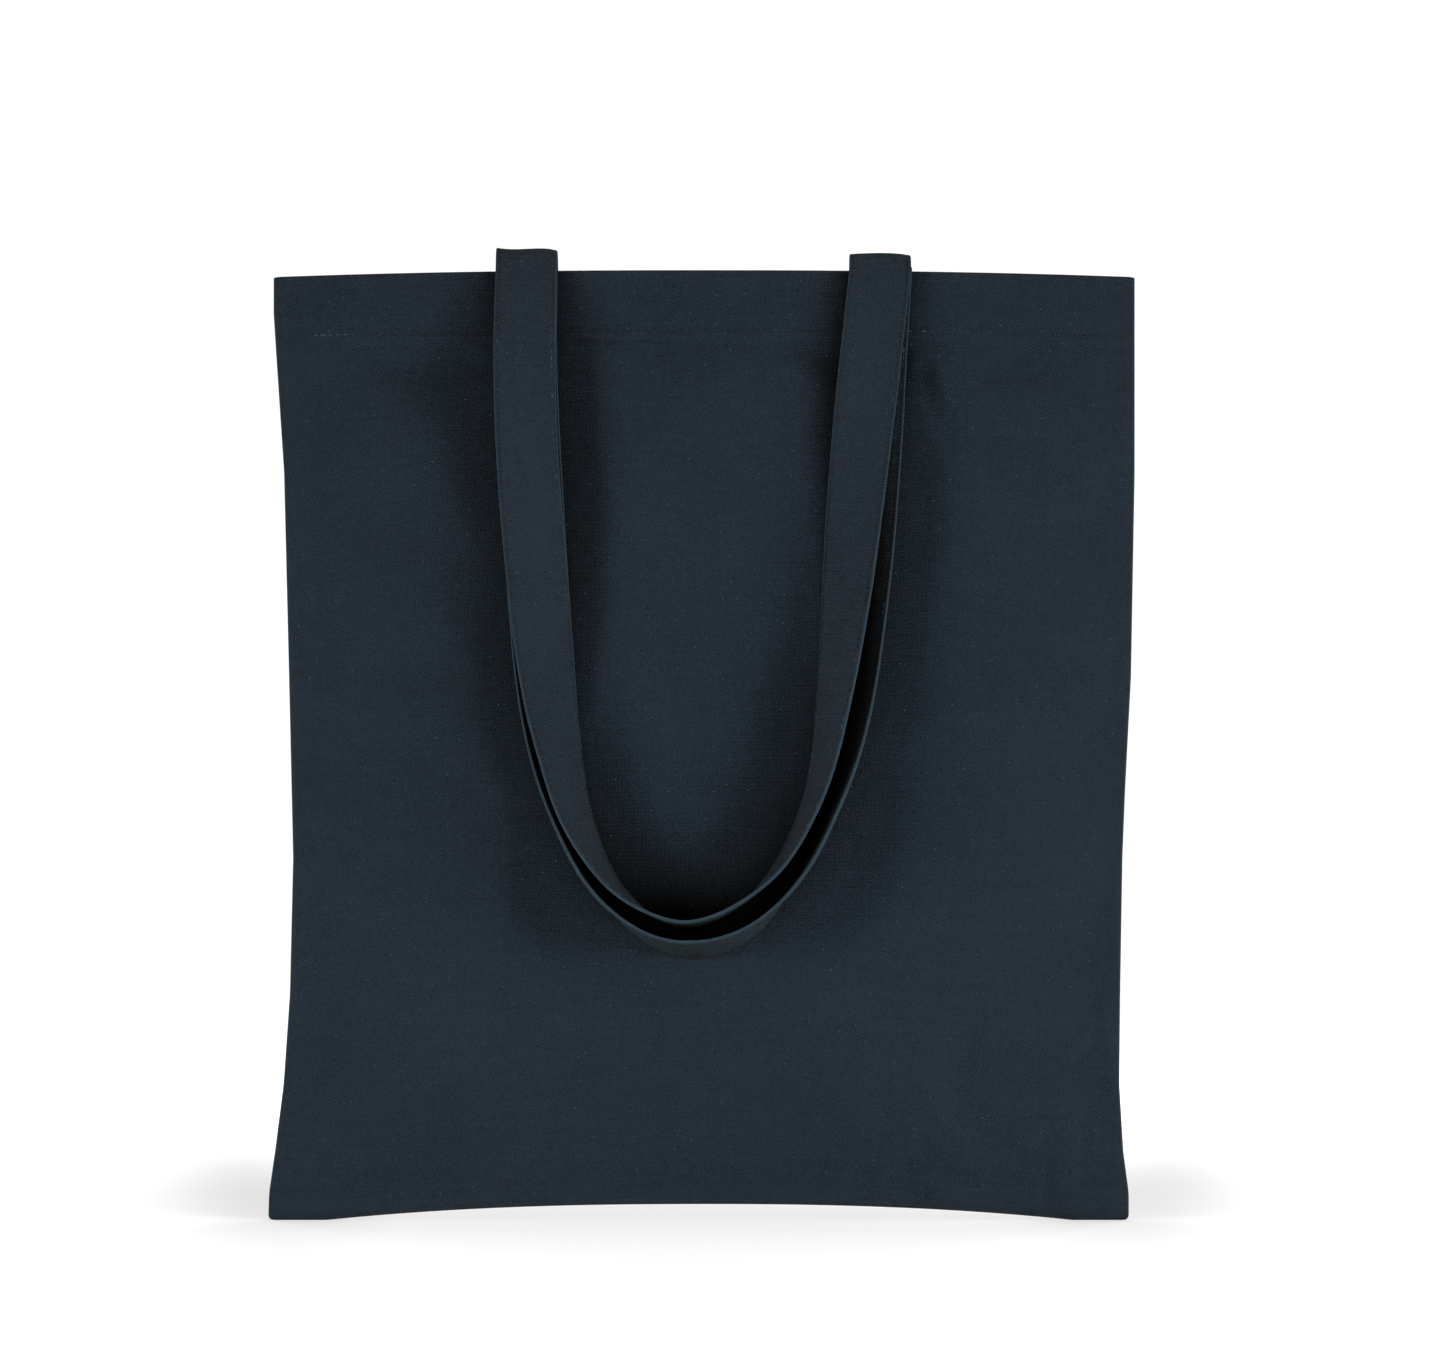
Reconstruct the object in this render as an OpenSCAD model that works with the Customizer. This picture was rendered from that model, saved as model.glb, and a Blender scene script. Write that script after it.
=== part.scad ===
// Canvas tote bag with two sewn strap handles, both hanging down its front face.
// Two panels are sewn to each other along the sides and the bottom, seam allowances turned in.
// The mouth is hemmed, and each handle is sewn inside one hem.
// Axes: X across the bag, Y from its front to its back, Z up from the floor.

/* [Bag] */
// Width across the hem, flat
bag_w = 380; // [340:5:420]
// Height of the top edge at the side seams
bag_h = 416; // [400:2:430]
// Rise of the top edge in the middle of the bag
top_rise = 2.6; // [0:0.2:4]
// Rise of the bottom seam between the two corners that touch the floor
bottom_rise = 7; // [0:0.5:10]
// Width of the flat stretch of bottom seam at each corner
foot_w = 25; // [15:1:40]
// Bulge of each panel, from the seam plane
belly = 22; // [14:1:26]
// Gap between the two hems in the middle of the mouth
mouth_gap = 12; // [11:0.5:14]
// Thickness of one layer of canvas
cloth_t = 0.8; // [0.6:0.1:0.8]

/* [Hem and seams] */
// Depth of the turned-in hem
hem_h = 29; // [26:1:34]
// Distance of the hem's stitch row from the top edge
hem_row_drop = 26.5; // [20:0.5:27]
// Width of the seam allowances
seam_w = 8; // [6:1:10]
// Width of a line of stitches
thread_w = 0.6; // [0.4:0.1:0.8]
// How far a line of stitches stands out of the cloth
thread_t = 0.25; // [0.2:0.05:0.3]

/* [Handles] */
// Width of the strap
strap_w = 27; // [24:0.5:28]
// Thickness of the strap, which is cloth folded in and sewn flat
strap_t = 1.8; // [1.4:0.1:1.8]
// Length of strap sewn down inside the hem
sewn_l = 26; // [20:1:28]
// Distance of the strap's stitch rows from its edges
strap_row_in = 1.6; // [1.4:0.2:3]
// Radius at which the front handle folds over its hem, to the middle of the strap
front_fold_r = 3; // [2.8:0.1:3.2]
// Height of the middle of both folds
fold_z = 419.3; // [419:0.1:420]

/* [Hidden] */

canvas = "#27343d";
webbing = "#2b3841";
thread = "#4a6068";

// The seam plane stands behind the row's origin, which is under the middle of the whole box.
seam_y = 14.2;
// Cloth pieces that lie on each other are this far apart, and stitches on cloth this far.
skin = 0.05;
proud = 0.1;
// Gap between the bottom seam's ends and the side seams.
seam_gap = 3.5;
// Distance of a seam's stitches from the cut edge of its allowances, and of the side seams from the hem.
seam_row_in = 1;
seam_drop = 1;
// Half the thickness of the sewn edge, plain and where the hems meet.
edge_half = 2;
hem_edge_half = 2.8;
hem_t = 2 * cloth_t;
// Height over which the side seams thicken below the hem.
edge_run = 16;
mouth = mouth_gap / 2 - (hem_edge_half - cloth_t - hem_t);
// Power of the curves of the top edge and of the bottom seam.
edge_power = 2.4;
// Powers of the bulge: across the bag, up the bag, and of the mouth's opening.
lens_power = 0.8;
belly_power = 0.63;
mouth_power = 4;
// Columns of each panel's surface, and its rows below the hem.
columns = 24;
rows = 17;

// How far each side edge draws in, at these heights.
left_pull = [
  [0, -2.4], [12, -2], [30, 0.6], [60, 4.4], [100, 7.2],
  [160, 8.6], [240, 6.8], [330, 4.6], [384, 1], [400, 0]
];
right_pull = [
  [0, 2.6], [12, 2.6], [30, 5], [60, 6.8], [100, 6.4],
  [160, 5.4], [190, 4.2], [240, 1.6], [330, 0], [400, 0]
];

// Each handle's route, left end to right end: x, z, twist of the strap in degrees, and stand-off.
// A twist of 0 lays the strap on the bag; at 90 it stands on its edge.
front_route = [
  [-78, fold_z, 0, 1.5], [-78, 404, 0, 4.8], [-78, 385, 0, 9], [-77, 355, 0, 11], [-75, 320, 0, 11],
  [-73, 287, 3, 8.6], [-70, 245, 16, 4.6], [-66, 210, 38, 1.8], [-58, 172, 68, 1], [-44.5, 144, 86, 1],
  [-24, 126, 100, 1], [-1, 121, 108, 1], [21.5, 130, 102, 1], [39.6, 151, 86, 1], [53, 181, 70, 0.9],
  [62.4, 215, 54, 0.8], [67, 255, 36, 0.8], [70.6, 300, 20, 1.2], [73.6, 345, 8, 2.2], [75.8, 385, 0, 3.2],
  [78, fold_z, 0, 1.5]
];
back_route = [
  [-78, fold_z, 0, 3.8], [-78.3, 404, 0, 8], [-78.5, 385, 0, 12.4], [-78, 355, 0, 14.4],
  [-76, 320, 0, 14.6], [-73, 287, 6, 12.2], [-69, 247, 24, 8], [-64, 212, 44, 4.6], [-55, 177, 62, 3],
  [-40, 150.5, 80, 2], [-22, 136, 94, 1.6], [-5, 132, 100, 1.6], [15, 140, 96, 1.6], [32.6, 157, 84, 1.8],
  [45.2, 181, 76, 2.2], [53.4, 210, 66, 2.8], [58.5, 245, 52, 3.4], [63.6, 290, 34, 4.2],
  [68.6, 340, 16, 5.2], [73.6, 385, 0, 6.4], [77.5, fold_z, 0, 3.8]
];
// Steps between two points of a route.
route_steps = 3;
fold_steps = 8;

// The hems draw together away from the middle of the mouth, so the sewn ends lie this much closer.
end_inset = 1.15;
// Distance of the middle of each sewn end from the seam plane.
end_y = mouth_gap / 2 - end_inset - strap_t / 2;
// Gap between the two handles where both hang from their folds, which sets the back fold's radius.
strap_gap = 0.5;
back_fold_r = (end_y * 2 + 2 * front_fold_r + strap_t + strap_gap) / 2;
front_fold_y = -end_y - front_fold_r;
back_fold_y = end_y - back_fold_r;
// Gap between a fold and its moving loop, and plain strap between the sewn part and the fold.
fold_gap = 0.3;
sewn_drop = 1.3;

// The box of stitches: its distance from the strap's edges, half its height, and the depth of its middle.
box_inset = 3;
box_half_h = 9;
box_drop = 13;
box_steps = 4;

function smooth(t) = let (s = min(1, max(0, t))) s * s * (3 - 2 * s);
function mix(a, b, t) = a + (b - a) * t;

// Outline of the bag, seen from the front.
function left_x(z) = -bag_w / 2 + lookup(z, left_pull);
function right_x(z) = bag_w / 2 - lookup(z, right_pull);
function bottom_z(x) = bottom_rise * (1 - pow(min(1, abs(x) / (bag_w / 2 - foot_w)), edge_power));
function top_z(x) = bag_h + top_rise * (1 - pow(min(1, abs(x) / (bag_w / 2)), edge_power));

// Distance of a panel's outer face from the seam plane. across runs from -1 to 1.
function across_at(x, z) = 2 * (x - left_x(z)) / (right_x(z) - left_x(z)) - 1;
function edge_at(z) = mix(edge_half, hem_edge_half, smooth((z - bag_h + hem_h + edge_run) / edge_run));
function bulge(share) = belly * sin(180 * pow(share, belly_power)) + mouth * pow(share, mouth_power);
function lens(across) = pow(max(0, 1 - across * across), lens_power);
function outer_at(x, z) =
  edge_at(z) + bulge(min(1, max(0, z - bottom_z(x)) / bag_h)) * lens(across_at(x, z));

// A point on the cloth: across from -1 to 1, side -1 for front and 1 for back,
// and depth under the outer face.
function cloth_point(across, z, side, depth) =
  let (x = mix(left_x(z), right_x(z), (across + 1) / 2))
  [x, side * (outer_at(x, z) - depth), z];

// A closed sheet between two grids of points. Seen from a's side, columns run right and rows run up.
module sheet(a, b) {
  m = len(a);
  n = len(a[0]);
  function p(i, j) = i * n + j;
  function q(i, j) = (m + i) * n + j;
  quads = [
    for (i = [0:m - 2], j = [0:n - 2]) each [
      [p(i, j), p(i + 1, j), p(i + 1, j + 1), p(i, j + 1)],
      [q(i, j), q(i, j + 1), q(i + 1, j + 1), q(i + 1, j)]
    ],
    for (j = [0:n - 2]) each [
      [p(0, j), p(0, j + 1), q(0, j + 1), q(0, j)],
      [p(m - 1, j + 1), p(m - 1, j), q(m - 1, j), q(m - 1, j + 1)]
    ],
    for (i = [0:m - 2]) each [
      [p(i + 1, 0), p(i, 0), q(i, 0), q(i + 1, 0)],
      [p(i, n - 1), p(i + 1, n - 1), q(i + 1, n - 1), q(i, n - 1)]
    ]
  ];
  faces = [for (f = quads) each [[f[0], f[1], f[2]], [f[0], f[2], f[3]]]];
  polyhedron(points = [for (row = a) each row, for (row = b) each row], faces = faces, convexity = 6);
}

// Heights of a panel's rows over one x: even ones up to the hem, then the hem's own.
function hem_heights(x) = [for (drop = [hem_h, hem_row_drop, hem_h / 2, 0]) top_z(x) - drop];
function panel_heights(x) =
  let (low = bottom_z(x), high = top_z(x) - hem_h - edge_run)
  concat([for (i = [0:rows]) mix(low, high, i / rows)], [high + edge_run / 2], hem_heights(x));
function row_heights(x, drop) = [for (side = [-1, 1]) top_z(x) - drop + side * thread_w / 2];

// Cloth on one side of the bag between two depths, at the heights that one of the functions above gives.
module cloth(side, heights, shallow, deep) {
  columns_of = [
    for (j = [0:columns])
      let (across = 2 * j / columns - 1)
      [across, heights(across * bag_w / 2)]
  ];
  function grid(depth) = [
    for (i = [0:len(columns_of[0][1]) - 1])
      [for (c = columns_of) cloth_point(c[0], c[1][i], side, depth)]
  ];
  translate([0, seam_y, 0])
    if (side < 0) sheet(grid(shallow), grid(deep));
    else sheet(grid(deep), grid(shallow));
}

module panel(side) {
  cloth(side, function(x) panel_heights(x), 0, cloth_t);
}

// The hem is turned in behind the panel's top edge, two layers deep.
module hem(side) {
  cloth(side, function(x) hem_heights(x), cloth_t + skin, cloth_t + hem_t);
}

module hem_row(side) {
  cloth(side, function(x) row_heights(x, hem_row_drop), -proud - thread_t, -proud);
}

// A strip in the seam plane, between two outlines given as lists of x and z.
module seam_strip(outside, inside, thickness) {
  outline = concat(outside, [for (i = [len(inside) - 1:-1:0]) inside[i]]);
  translate([0, seam_y + thickness / 2, 0])
    rotate([90, 0, 0])
      linear_extrude(thickness)
        polygon(outline);
}

module side_seam(side, near, far, thickness) {
  heights = [for (i = [0:rows]) mix(0, bag_h - hem_h - seam_drop, i / rows)];
  function edge(z) = side < 0 ? left_x(z) : right_x(z);
  function line(inset) = [for (z = heights) [edge(z) - side * inset, z]];
  seam_strip(line(near), line(far), thickness);
}

module bottom_strip(near, far, thickness) {
  low = left_x(0) + seam_w + seam_gap;
  high = right_x(0) - seam_w - seam_gap;
  feet = [low, -bag_w / 2 + foot_w, bag_w / 2 - foot_w, high];
  xs = concat([low], [for (i = [0:columns]) mix(feet[1], feet[2], i / columns)], [high]);
  function line(inset) = [for (x = xs) [x, bottom_z(x) + inset]];
  seam_strip(line(near), line(far), thickness);
}

// A row of a strap: its middle, the direction of its outer edge and that of its face.
function corner(row, across, out) = row[0] + row[1] * across + row[2] * out;

// A strip of a strap at some offsets across it, from its outer edge inwards,
// between two offsets out of its middle.
module strap_strip(strap_rows, offsets, low, high) {
  function grid(out) = [for (row = strap_rows) [for (across = offsets) corner(row, across, out)]];
  translate([0, seam_y, 0])
    sheet(grid(low), grid(high));
}

// Both edges of each stitch row are also edges of the strap's own facets, so the stitches lie flat on them.
function row_edges(side) =
  let (middle = side * (strap_w / 2 - strap_row_in))
  [middle + thread_w / 2, middle - thread_w / 2];

module strap(strap_rows) {
  offsets = concat([strap_w / 2], row_edges(1), row_edges(-1), [-strap_w / 2]);
  strap_strip(strap_rows, offsets, -strap_t / 2, strap_t / 2);
}

module strap_rows_of_stitches(strap_rows) {
  face = strap_t / 2 + proud;
  for (side = [-1, 1]) strap_strip(strap_rows, row_edges(side), face, face + thread_t);
}

// Smooth curve through the points of a route.
function curve(p, q, r, s, t) =
  0.5 * (2 * q + (r - p) * t + (2 * p - 5 * q + 4 * r - s) * t * t + (3 * q - p - 3 * r + s) * t * t * t);
function smooth_route(points) =
  let (last = len(points) - 1)
  [
    for (i = [0:last - 1], k = [0:route_steps - 1])
      curve(points[max(i - 1, 0)], points[i], points[i + 1], points[min(i + 2, last)], k / route_steps),
    points[last]
  ];

// A strap row at one point of a route: it twists about its own run, its inner edge held off the panel.
function route_row(p, before, after) =
  let (
    run = [after[0] - before[0], after[1] - before[1]],
    along = run / norm(run),
    outward = [along[1], -along[0]],
    lean = [cos(p[2]), sin(p[2])],
    inner = [p[0], p[1]] - outward * lean[0] * strap_w / 2,
    y = -outer_at(inner[0], inner[1]) - p[3] - (strap_w * lean[1] + strap_t * abs(lean[0])) / 2,
    across = [outward[0] * lean[0], -lean[1], outward[1] * lean[0]]
  )
  [[p[0], y, p[1]], across, cross(across, [along[0], 0, along[1]])];

// A row on the fold over the hem: 0 is at the sewn end, 90 on top and 180 at the front.
function fold_row(side, x, fold_y, r, angle) =
  [[x, fold_y + r * cos(angle), fold_z + r * sin(angle)], [side, 0, 0], [0, cos(angle), sin(angle)]];

// The moving loop hangs from the front of both its folds.
function loop_rows(route, fold_y, r) =
  let (points = smooth_route(route), last = len(points) - 1)
  [
    fold_row(-1, points[0][0], fold_y, r, 180),
    for (i = [1:last - 1]) route_row(points[i], points[i - 1], points[i + 1]),
    fold_row(1, points[last][0], fold_y, r, 180)
  ];

// The strap's fold over the hem, just clear of the sewn end behind it and of the loop in front.
module handle_fold(x, fold_y, r) {
  first = asin(skin / r);
  last = 180 - asin(fold_gap / r);
  strap([for (i = [0:fold_steps]) fold_row(-1, x, fold_y, r, mix(first, last, i / fold_steps))]);
}

// A sewn end, flat inside the hem. bag_side is -1 at the front hem.
module handle_end(x, bag_side) {
  function row(z) = [[x, bag_side * end_y, z], [-1, 0, 0], [0, 1, 0]];
  strap([row(fold_z - sewn_drop - sewn_l), row(fold_z)]);
}

// The two ends of a route give the places of the strap's folds and sewn ends.
function both_ends(route) = [route[0][0], route[len(route) - 1][0]];

// A box of stitches with a cross in it, through the hem and the strap end, on the bag's outer face.
module anchor_box(x, bag_side) {
  half_w = strap_w / 2 - box_inset;
  half_h = box_half_h;
  mid_z = bag_h - box_drop;
  corners = [[-half_w, -half_h], [half_w, -half_h], [half_w, half_h], [-half_w, half_h]];
  lines = [[0, 1], [2, 3], [1, 2], [3, 0], [0, 2], [1, 3]];
  module line(from, to, lift) {
    run = to - from;
    side_step = [-run[1], run[0]] / norm(run) * thread_w / 2;
    function at(t, s) = let (p = from + run * t + side_step * s) [x + p[0], mid_z + p[1]];
    function on_cloth(p, depth) = [p[0], bag_side * (outer_at(p[0], p[1]) + depth), p[1]];
    function grid(depth) =
      [for (s = [-1, 1]) [for (i = [0:box_steps]) on_cloth(at(i / box_steps, s), depth)]];
    if (bag_side < 0) sheet(grid(lift + thread_t), grid(lift));
    else sheet(grid(lift), grid(lift + thread_t));
  }
  last = len(lines) - 1;
  translate([0, seam_y, 0])
    for (i = [0:last]) {
      from = corners[lines[i][0]];
      to = corners[lines[i][1]];
      trim = (to - from) / norm(to - from) * thread_w;
      over_the_other = i == last ? thread_t + skin : 0;
      line(from + trim, to - trim, 2 * proud + over_the_other);
    }
}

module front_panel() { color(canvas) panel(-1); }
module back_panel() { color(canvas) panel(1); }
module front_hem() { color(canvas) hem(-1); }
module back_hem() { color(canvas) hem(1); }

module left_side_seam() { color(canvas) side_seam(-1, 0, seam_w, 2 * cloth_t); }
module right_side_seam() { color(canvas) side_seam(1, 0, seam_w, 2 * cloth_t); }
module bottom_seam() { color(canvas) bottom_strip(0, seam_w, 2 * cloth_t); }

module front_hem_stitching() { color(thread) hem_row(-1); }
module back_hem_stitching() { color(thread) hem_row(1); }

// The seams' stitches lie on both faces of the allowances, inside the bag.
module side_seam_stitching() {
  color(thread)
    for (side = [-1, 1], face = [-1, 1])
      translate([0, face * (cloth_t + skin + thread_t / 2), 0])
        side_seam(side, seam_w - seam_row_in - thread_w, seam_w - seam_row_in, thread_t);
}

module bottom_seam_stitching() {
  color(thread)
    for (face = [-1, 1])
      translate([0, face * (cloth_t + skin + thread_t / 2), 0])
        bottom_strip(seam_w - seam_row_in - thread_w, seam_w - seam_row_in, thread_t);
}

module front_handle_ends() {
  color(webbing)
    for (x = both_ends(front_route)) handle_end(x, -1);
}

module back_handle_ends() {
  color(webbing)
    for (x = both_ends(back_route)) handle_end(x, 1);
}

module front_handle_folds() {
  color(webbing)
    for (x = both_ends(front_route)) handle_fold(x, front_fold_y, front_fold_r);
}

module back_handle_folds() {
  color(webbing)
    for (x = both_ends(back_route)) handle_fold(x, back_fold_y, back_fold_r);
}

module front_anchor_stitching() {
  color(thread)
    for (x = both_ends(front_route)) anchor_box(x, -1);
}

module back_anchor_stitching() {
  color(thread)
    for (x = both_ends(back_route)) anchor_box(x, 1);
}

module front_handle() { color(webbing) strap(loop_rows(front_route, front_fold_y, front_fold_r)); }
module back_handle() { color(webbing) strap(loop_rows(back_route, back_fold_y, back_fold_r)); }

module front_handle_stitching() {
  color(thread) strap_rows_of_stitches(loop_rows(front_route, front_fold_y, front_fold_r));
}

module back_handle_stitching() {
  color(thread) strap_rows_of_stitches(loop_rows(back_route, back_fold_y, back_fold_r));
}

front_panel();
back_panel();
front_hem();
back_hem();
left_side_seam();
right_side_seam();
bottom_seam();
front_hem_stitching();
back_hem_stitching();
side_seam_stitching();
bottom_seam_stitching();
front_handle_ends();
back_handle_ends();
front_anchor_stitching();
back_anchor_stitching();
front_handle_folds();
back_handle_folds();
front_handle();
back_handle();
front_handle_stitching();
back_handle_stitching();
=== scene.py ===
"""Canvas tote bag: its cloth, strap handles and stitches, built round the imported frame.

Lengths are in millimetres until a mesh is made. The outline, the bulge and the routes of the
handles are those of the frame.
"""

import math

import bpy
import numpy as np
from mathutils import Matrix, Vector


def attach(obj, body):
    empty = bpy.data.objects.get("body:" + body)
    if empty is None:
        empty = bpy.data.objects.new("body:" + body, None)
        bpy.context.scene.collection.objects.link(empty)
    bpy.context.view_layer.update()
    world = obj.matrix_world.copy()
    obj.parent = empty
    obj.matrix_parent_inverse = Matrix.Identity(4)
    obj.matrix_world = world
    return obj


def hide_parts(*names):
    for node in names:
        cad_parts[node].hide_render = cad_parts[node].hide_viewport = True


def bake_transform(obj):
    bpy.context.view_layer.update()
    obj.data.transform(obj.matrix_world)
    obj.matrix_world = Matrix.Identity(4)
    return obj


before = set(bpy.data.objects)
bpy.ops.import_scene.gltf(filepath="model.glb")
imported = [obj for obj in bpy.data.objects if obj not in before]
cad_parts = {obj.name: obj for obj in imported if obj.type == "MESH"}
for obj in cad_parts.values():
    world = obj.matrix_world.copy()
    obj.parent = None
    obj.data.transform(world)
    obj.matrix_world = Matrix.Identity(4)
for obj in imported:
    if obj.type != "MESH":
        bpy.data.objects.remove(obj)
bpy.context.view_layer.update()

MM = 0.001

# ------------------------------ the bag's dimensions

BAG_W = 380
BAG_H = 416
TOP_RISE = 2.6
BOTTOM_RISE = 7
FOOT_W = 25
EDGE_POWER = 2.4
BELLY = 22
MOUTH = 5.6
LENS_POWER = 0.8
BELLY_POWER = 0.63
MOUTH_POWER = 4
CLOTH_T = 0.8
HEM_H = 29
HEM_ROW_DROP = 26.5
HEM_LAYERS_T = 2.5
HEM_TUCK = 9
EDGE_HALF = 2
HEM_EDGE_HALF = 2.8
EDGE_RUN = 16
SEAM_W = 8
SEAM_Y = 14.2

LEFT_PULL = [
    (0, -2.4), (12, -2), (30, 0.6), (60, 4.4), (100, 7.2),
    (160, 8.6), (240, 6.8), (330, 4.6), (384, 1), (400, 0),
]
RIGHT_PULL = [
    (0, 2.6), (12, 2.6), (30, 5), (60, 6.8), (100, 6.4),
    (160, 5.4), (190, 4.2), (240, 1.6), (330, 0), (400, 0),
]

# ------------------------------ the handles' dimensions

STRAP_W = 27
STRAP_T = 1.8
STRAP_ROW_IN = 1.6
SEWN_L = 26
SEWN_DROP = 1.3
FOLD_Z = 419.3
END_Y = 3.95
FRONT_FOLD_R = 3
BACK_FOLD_R = 8.1

# Left end to right end: x, z, twist in degrees (0 flat on the bag, 90 on edge), and stand-off.
FRONT_ROUTE = [
    (-78, FOLD_Z, 0, 1.5), (-78, 404, 0, 4.8), (-78, 385, 0, 9), (-77, 355, 0, 11), (-75, 320, 0, 11),
    (-73, 287, 3, 8.6), (-70, 245, 16, 4.6), (-66, 210, 38, 1.8), (-58, 172, 68, 1), (-44.5, 144, 86, 1),
    (-24, 126, 100, 1), (-1, 121, 108, 1), (21.5, 130, 102, 1), (39.6, 151, 86, 1), (53, 181, 70, 0.9),
    (62.4, 215, 54, 0.8), (67, 255, 36, 0.8), (70.6, 300, 20, 1.2), (73.6, 345, 8, 2.2),
    (75.8, 385, 0, 3.2), (78, FOLD_Z, 0, 1.5),
]
BACK_ROUTE = [
    (-78, FOLD_Z, 0, 3.8), (-78.3, 404, 0, 8), (-78.5, 385, 0, 12.4), (-78, 355, 0, 14.4),
    (-76, 320, 0, 14.6), (-73, 287, 6, 12.2), (-69, 247, 24, 8), (-64, 212, 44, 4.6), (-55, 177, 62, 3),
    (-40, 150.5, 80, 2), (-22, 136, 94, 1.6), (-5, 132, 100, 1.6), (15, 140, 96, 1.6), (32.6, 157, 84, 1.8),
    (45.2, 181, 76, 2.2), (53.4, 210, 66, 2.8), (58.5, 245, 52, 3.4), (63.6, 290, 34, 4.2),
    (68.6, 340, 16, 5.2), (73.6, 385, 0, 6.4), (77.5, FOLD_Z, 0, 3.8),
]

# ------------------------------ the camera

CAMERA_BACK = 2.4
CAMERA_X = 0.0081
CAMERA_Z = 0.2407
VIEW_W = 0.6377
SENSOR_W = 36
CLIP_NEAR = 0.05
CLIP_FAR = 60


def make_camera():
    """A level camera straight in front of the bag, whose seam plane fills the frame at VIEW_W."""
    data = bpy.data.cameras.new("camera")
    data.sensor_width = SENSOR_W
    data.lens = SENSOR_W * CAMERA_BACK / VIEW_W
    data.clip_start = CLIP_NEAR
    data.clip_end = CLIP_FAR
    camera = bpy.data.objects.new("camera", data)
    camera.location = (CAMERA_X, SEAM_Y * MM - CAMERA_BACK, CAMERA_Z)
    camera.rotation_euler = (math.radians(90), 0, 0)
    bpy.context.scene.collection.objects.link(camera)
    bpy.context.scene.camera = camera


make_camera()

# ------------------------------ the bag's shape


def smooth(t):
    """From 0 to 1 with no corner at either end."""
    s = np.clip(t, 0, 1)
    return s * s * (3 - 2 * s)


def mix(a, b, t):
    return a + (b - a) * t


def lookup(z, table):
    heights, values = zip(*table)
    return np.interp(z, heights, values)


def left_x(z):
    return -BAG_W / 2 + lookup(z, LEFT_PULL)


def right_x(z):
    return BAG_W / 2 - lookup(z, RIGHT_PULL)


def bottom_z(x):
    return BOTTOM_RISE * (1 - np.minimum(1, np.abs(x) / (BAG_W / 2 - FOOT_W)) ** EDGE_POWER)


def top_z(x):
    return BAG_H + TOP_RISE * (1 - np.minimum(1, np.abs(x) / (BAG_W / 2)) ** EDGE_POWER)


def edge_at(z):
    """How far the outer face stands from the seam plane at the side seams, thicker at the hem."""
    return mix(EDGE_HALF, HEM_EDGE_HALF, smooth((z - BAG_H + HEM_H + EDGE_RUN) / EDGE_RUN))


def bulge(share):
    """How far the middle of a panel swells, at a share of the height."""
    rise = np.sin(math.pi * share ** BELLY_POWER)
    return BELLY * np.maximum(0, rise) + MOUTH * share ** MOUTH_POWER


def lens(across):
    """The swelling's profile from one side seam, -1, to the other, 1."""
    return np.maximum(0, 1 - across * across) ** LENS_POWER


def across_at(x, z):
    return 2 * (x - left_x(z)) / (right_x(z) - left_x(z)) - 1


def outer_at(x, z):
    """How far a panel's outer face stands from the seam plane."""
    share = np.clip((z - bottom_z(x)) / BAG_H, 0, 1)
    return edge_at(z) + bulge(share) * lens(across_at(x, z))


# ------------------------------ meshes


def unit(v):
    return v / np.maximum(np.linalg.norm(v, axis=-1, keepdims=True), 1e-12)


def grid_normals(grid):
    """Normals of a grid of points, along its columns' direction crossed with its rows'."""
    return unit(np.cross(np.gradient(grid, axis=1), np.gradient(grid, axis=0)))


def make_object(name, points, faces, uvs=None):
    """A smooth-shaded object of points in mm. uvs has one (u, v) in mm for each face corner."""
    mesh = bpy.data.meshes.new(name)
    mesh.from_pydata((np.asarray(points) * MM).tolist(), [], [list(f) for f in faces])
    if uvs is not None:
        layer = mesh.uv_layers.new(name="cloth")
        layer.data.foreach_set("uv", (np.asarray(uvs, np.float32) * MM).ravel())
    mesh.polygons.foreach_set("use_smooth", [True] * len(mesh.polygons))
    mesh.update()
    obj = bpy.data.objects.new(name, mesh)
    bpy.context.scene.collection.objects.link(obj)
    return obj


def set_attribute(obj, name, values):
    attribute = obj.data.attributes.new(name, "FLOAT", "POINT")
    attribute.data.foreach_set("value", np.asarray(values, np.float32).ravel())


def slab(name, outer, inner, uv):
    """A closed sheet between two grids of points. outer is seen with its columns to the right."""
    m, n = outer.shape[:2]
    k = m * n
    index = np.arange(k).reshape(m, n)
    quads = np.stack([index[:-1, :-1], index[:-1, 1:], index[1:, 1:], index[1:, :-1]], -1).reshape(-1, 4)
    rim = np.concatenate([index[0, :], index[1:, -1], index[-1, -2::-1], index[-2:0:-1, 0]])
    after = np.roll(rim, -1)
    sides = np.stack([rim, rim + k, after + k, after], -1)
    faces = np.concatenate([quads, quads[:, ::-1] + k, sides])
    points = np.concatenate([outer.reshape(-1, 3), inner.reshape(-1, 3)])
    uv_points = np.concatenate([uv.reshape(-1, 2), uv.reshape(-1, 2)])
    return make_object(name, points, faces, uv_points[faces.ravel()])


def tube_grid(name, rings, uv):
    """A band of closed cross-sections: rings is rows x points x 3, uv has one more point a row."""
    m, n = rings.shape[:2]
    i, j = np.meshgrid(np.arange(m - 1), np.arange(n), indexing="ij")
    right = (j + 1) % n
    faces = np.stack([i * n + j, i * n + right, (i + 1) * n + right, (i + 1) * n + j], -1).reshape(-1, 4)
    corners = np.stack([uv[i, j], uv[i, j + 1], uv[i + 1, j + 1], uv[i + 1, j]], 2).reshape(-1, 2)
    faces = faces.tolist()
    corners = corners.tolist()
    for cap, row in ((list(range(n))[::-1], 0), ([(m - 1) * n + c for c in range(n)], m - 1)):
        faces.append(cap)
        corners += [uv[row, c % n].tolist() for c in cap]
    return make_object(name, rings.reshape(-1, 3), faces, np.array(corners))


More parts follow.
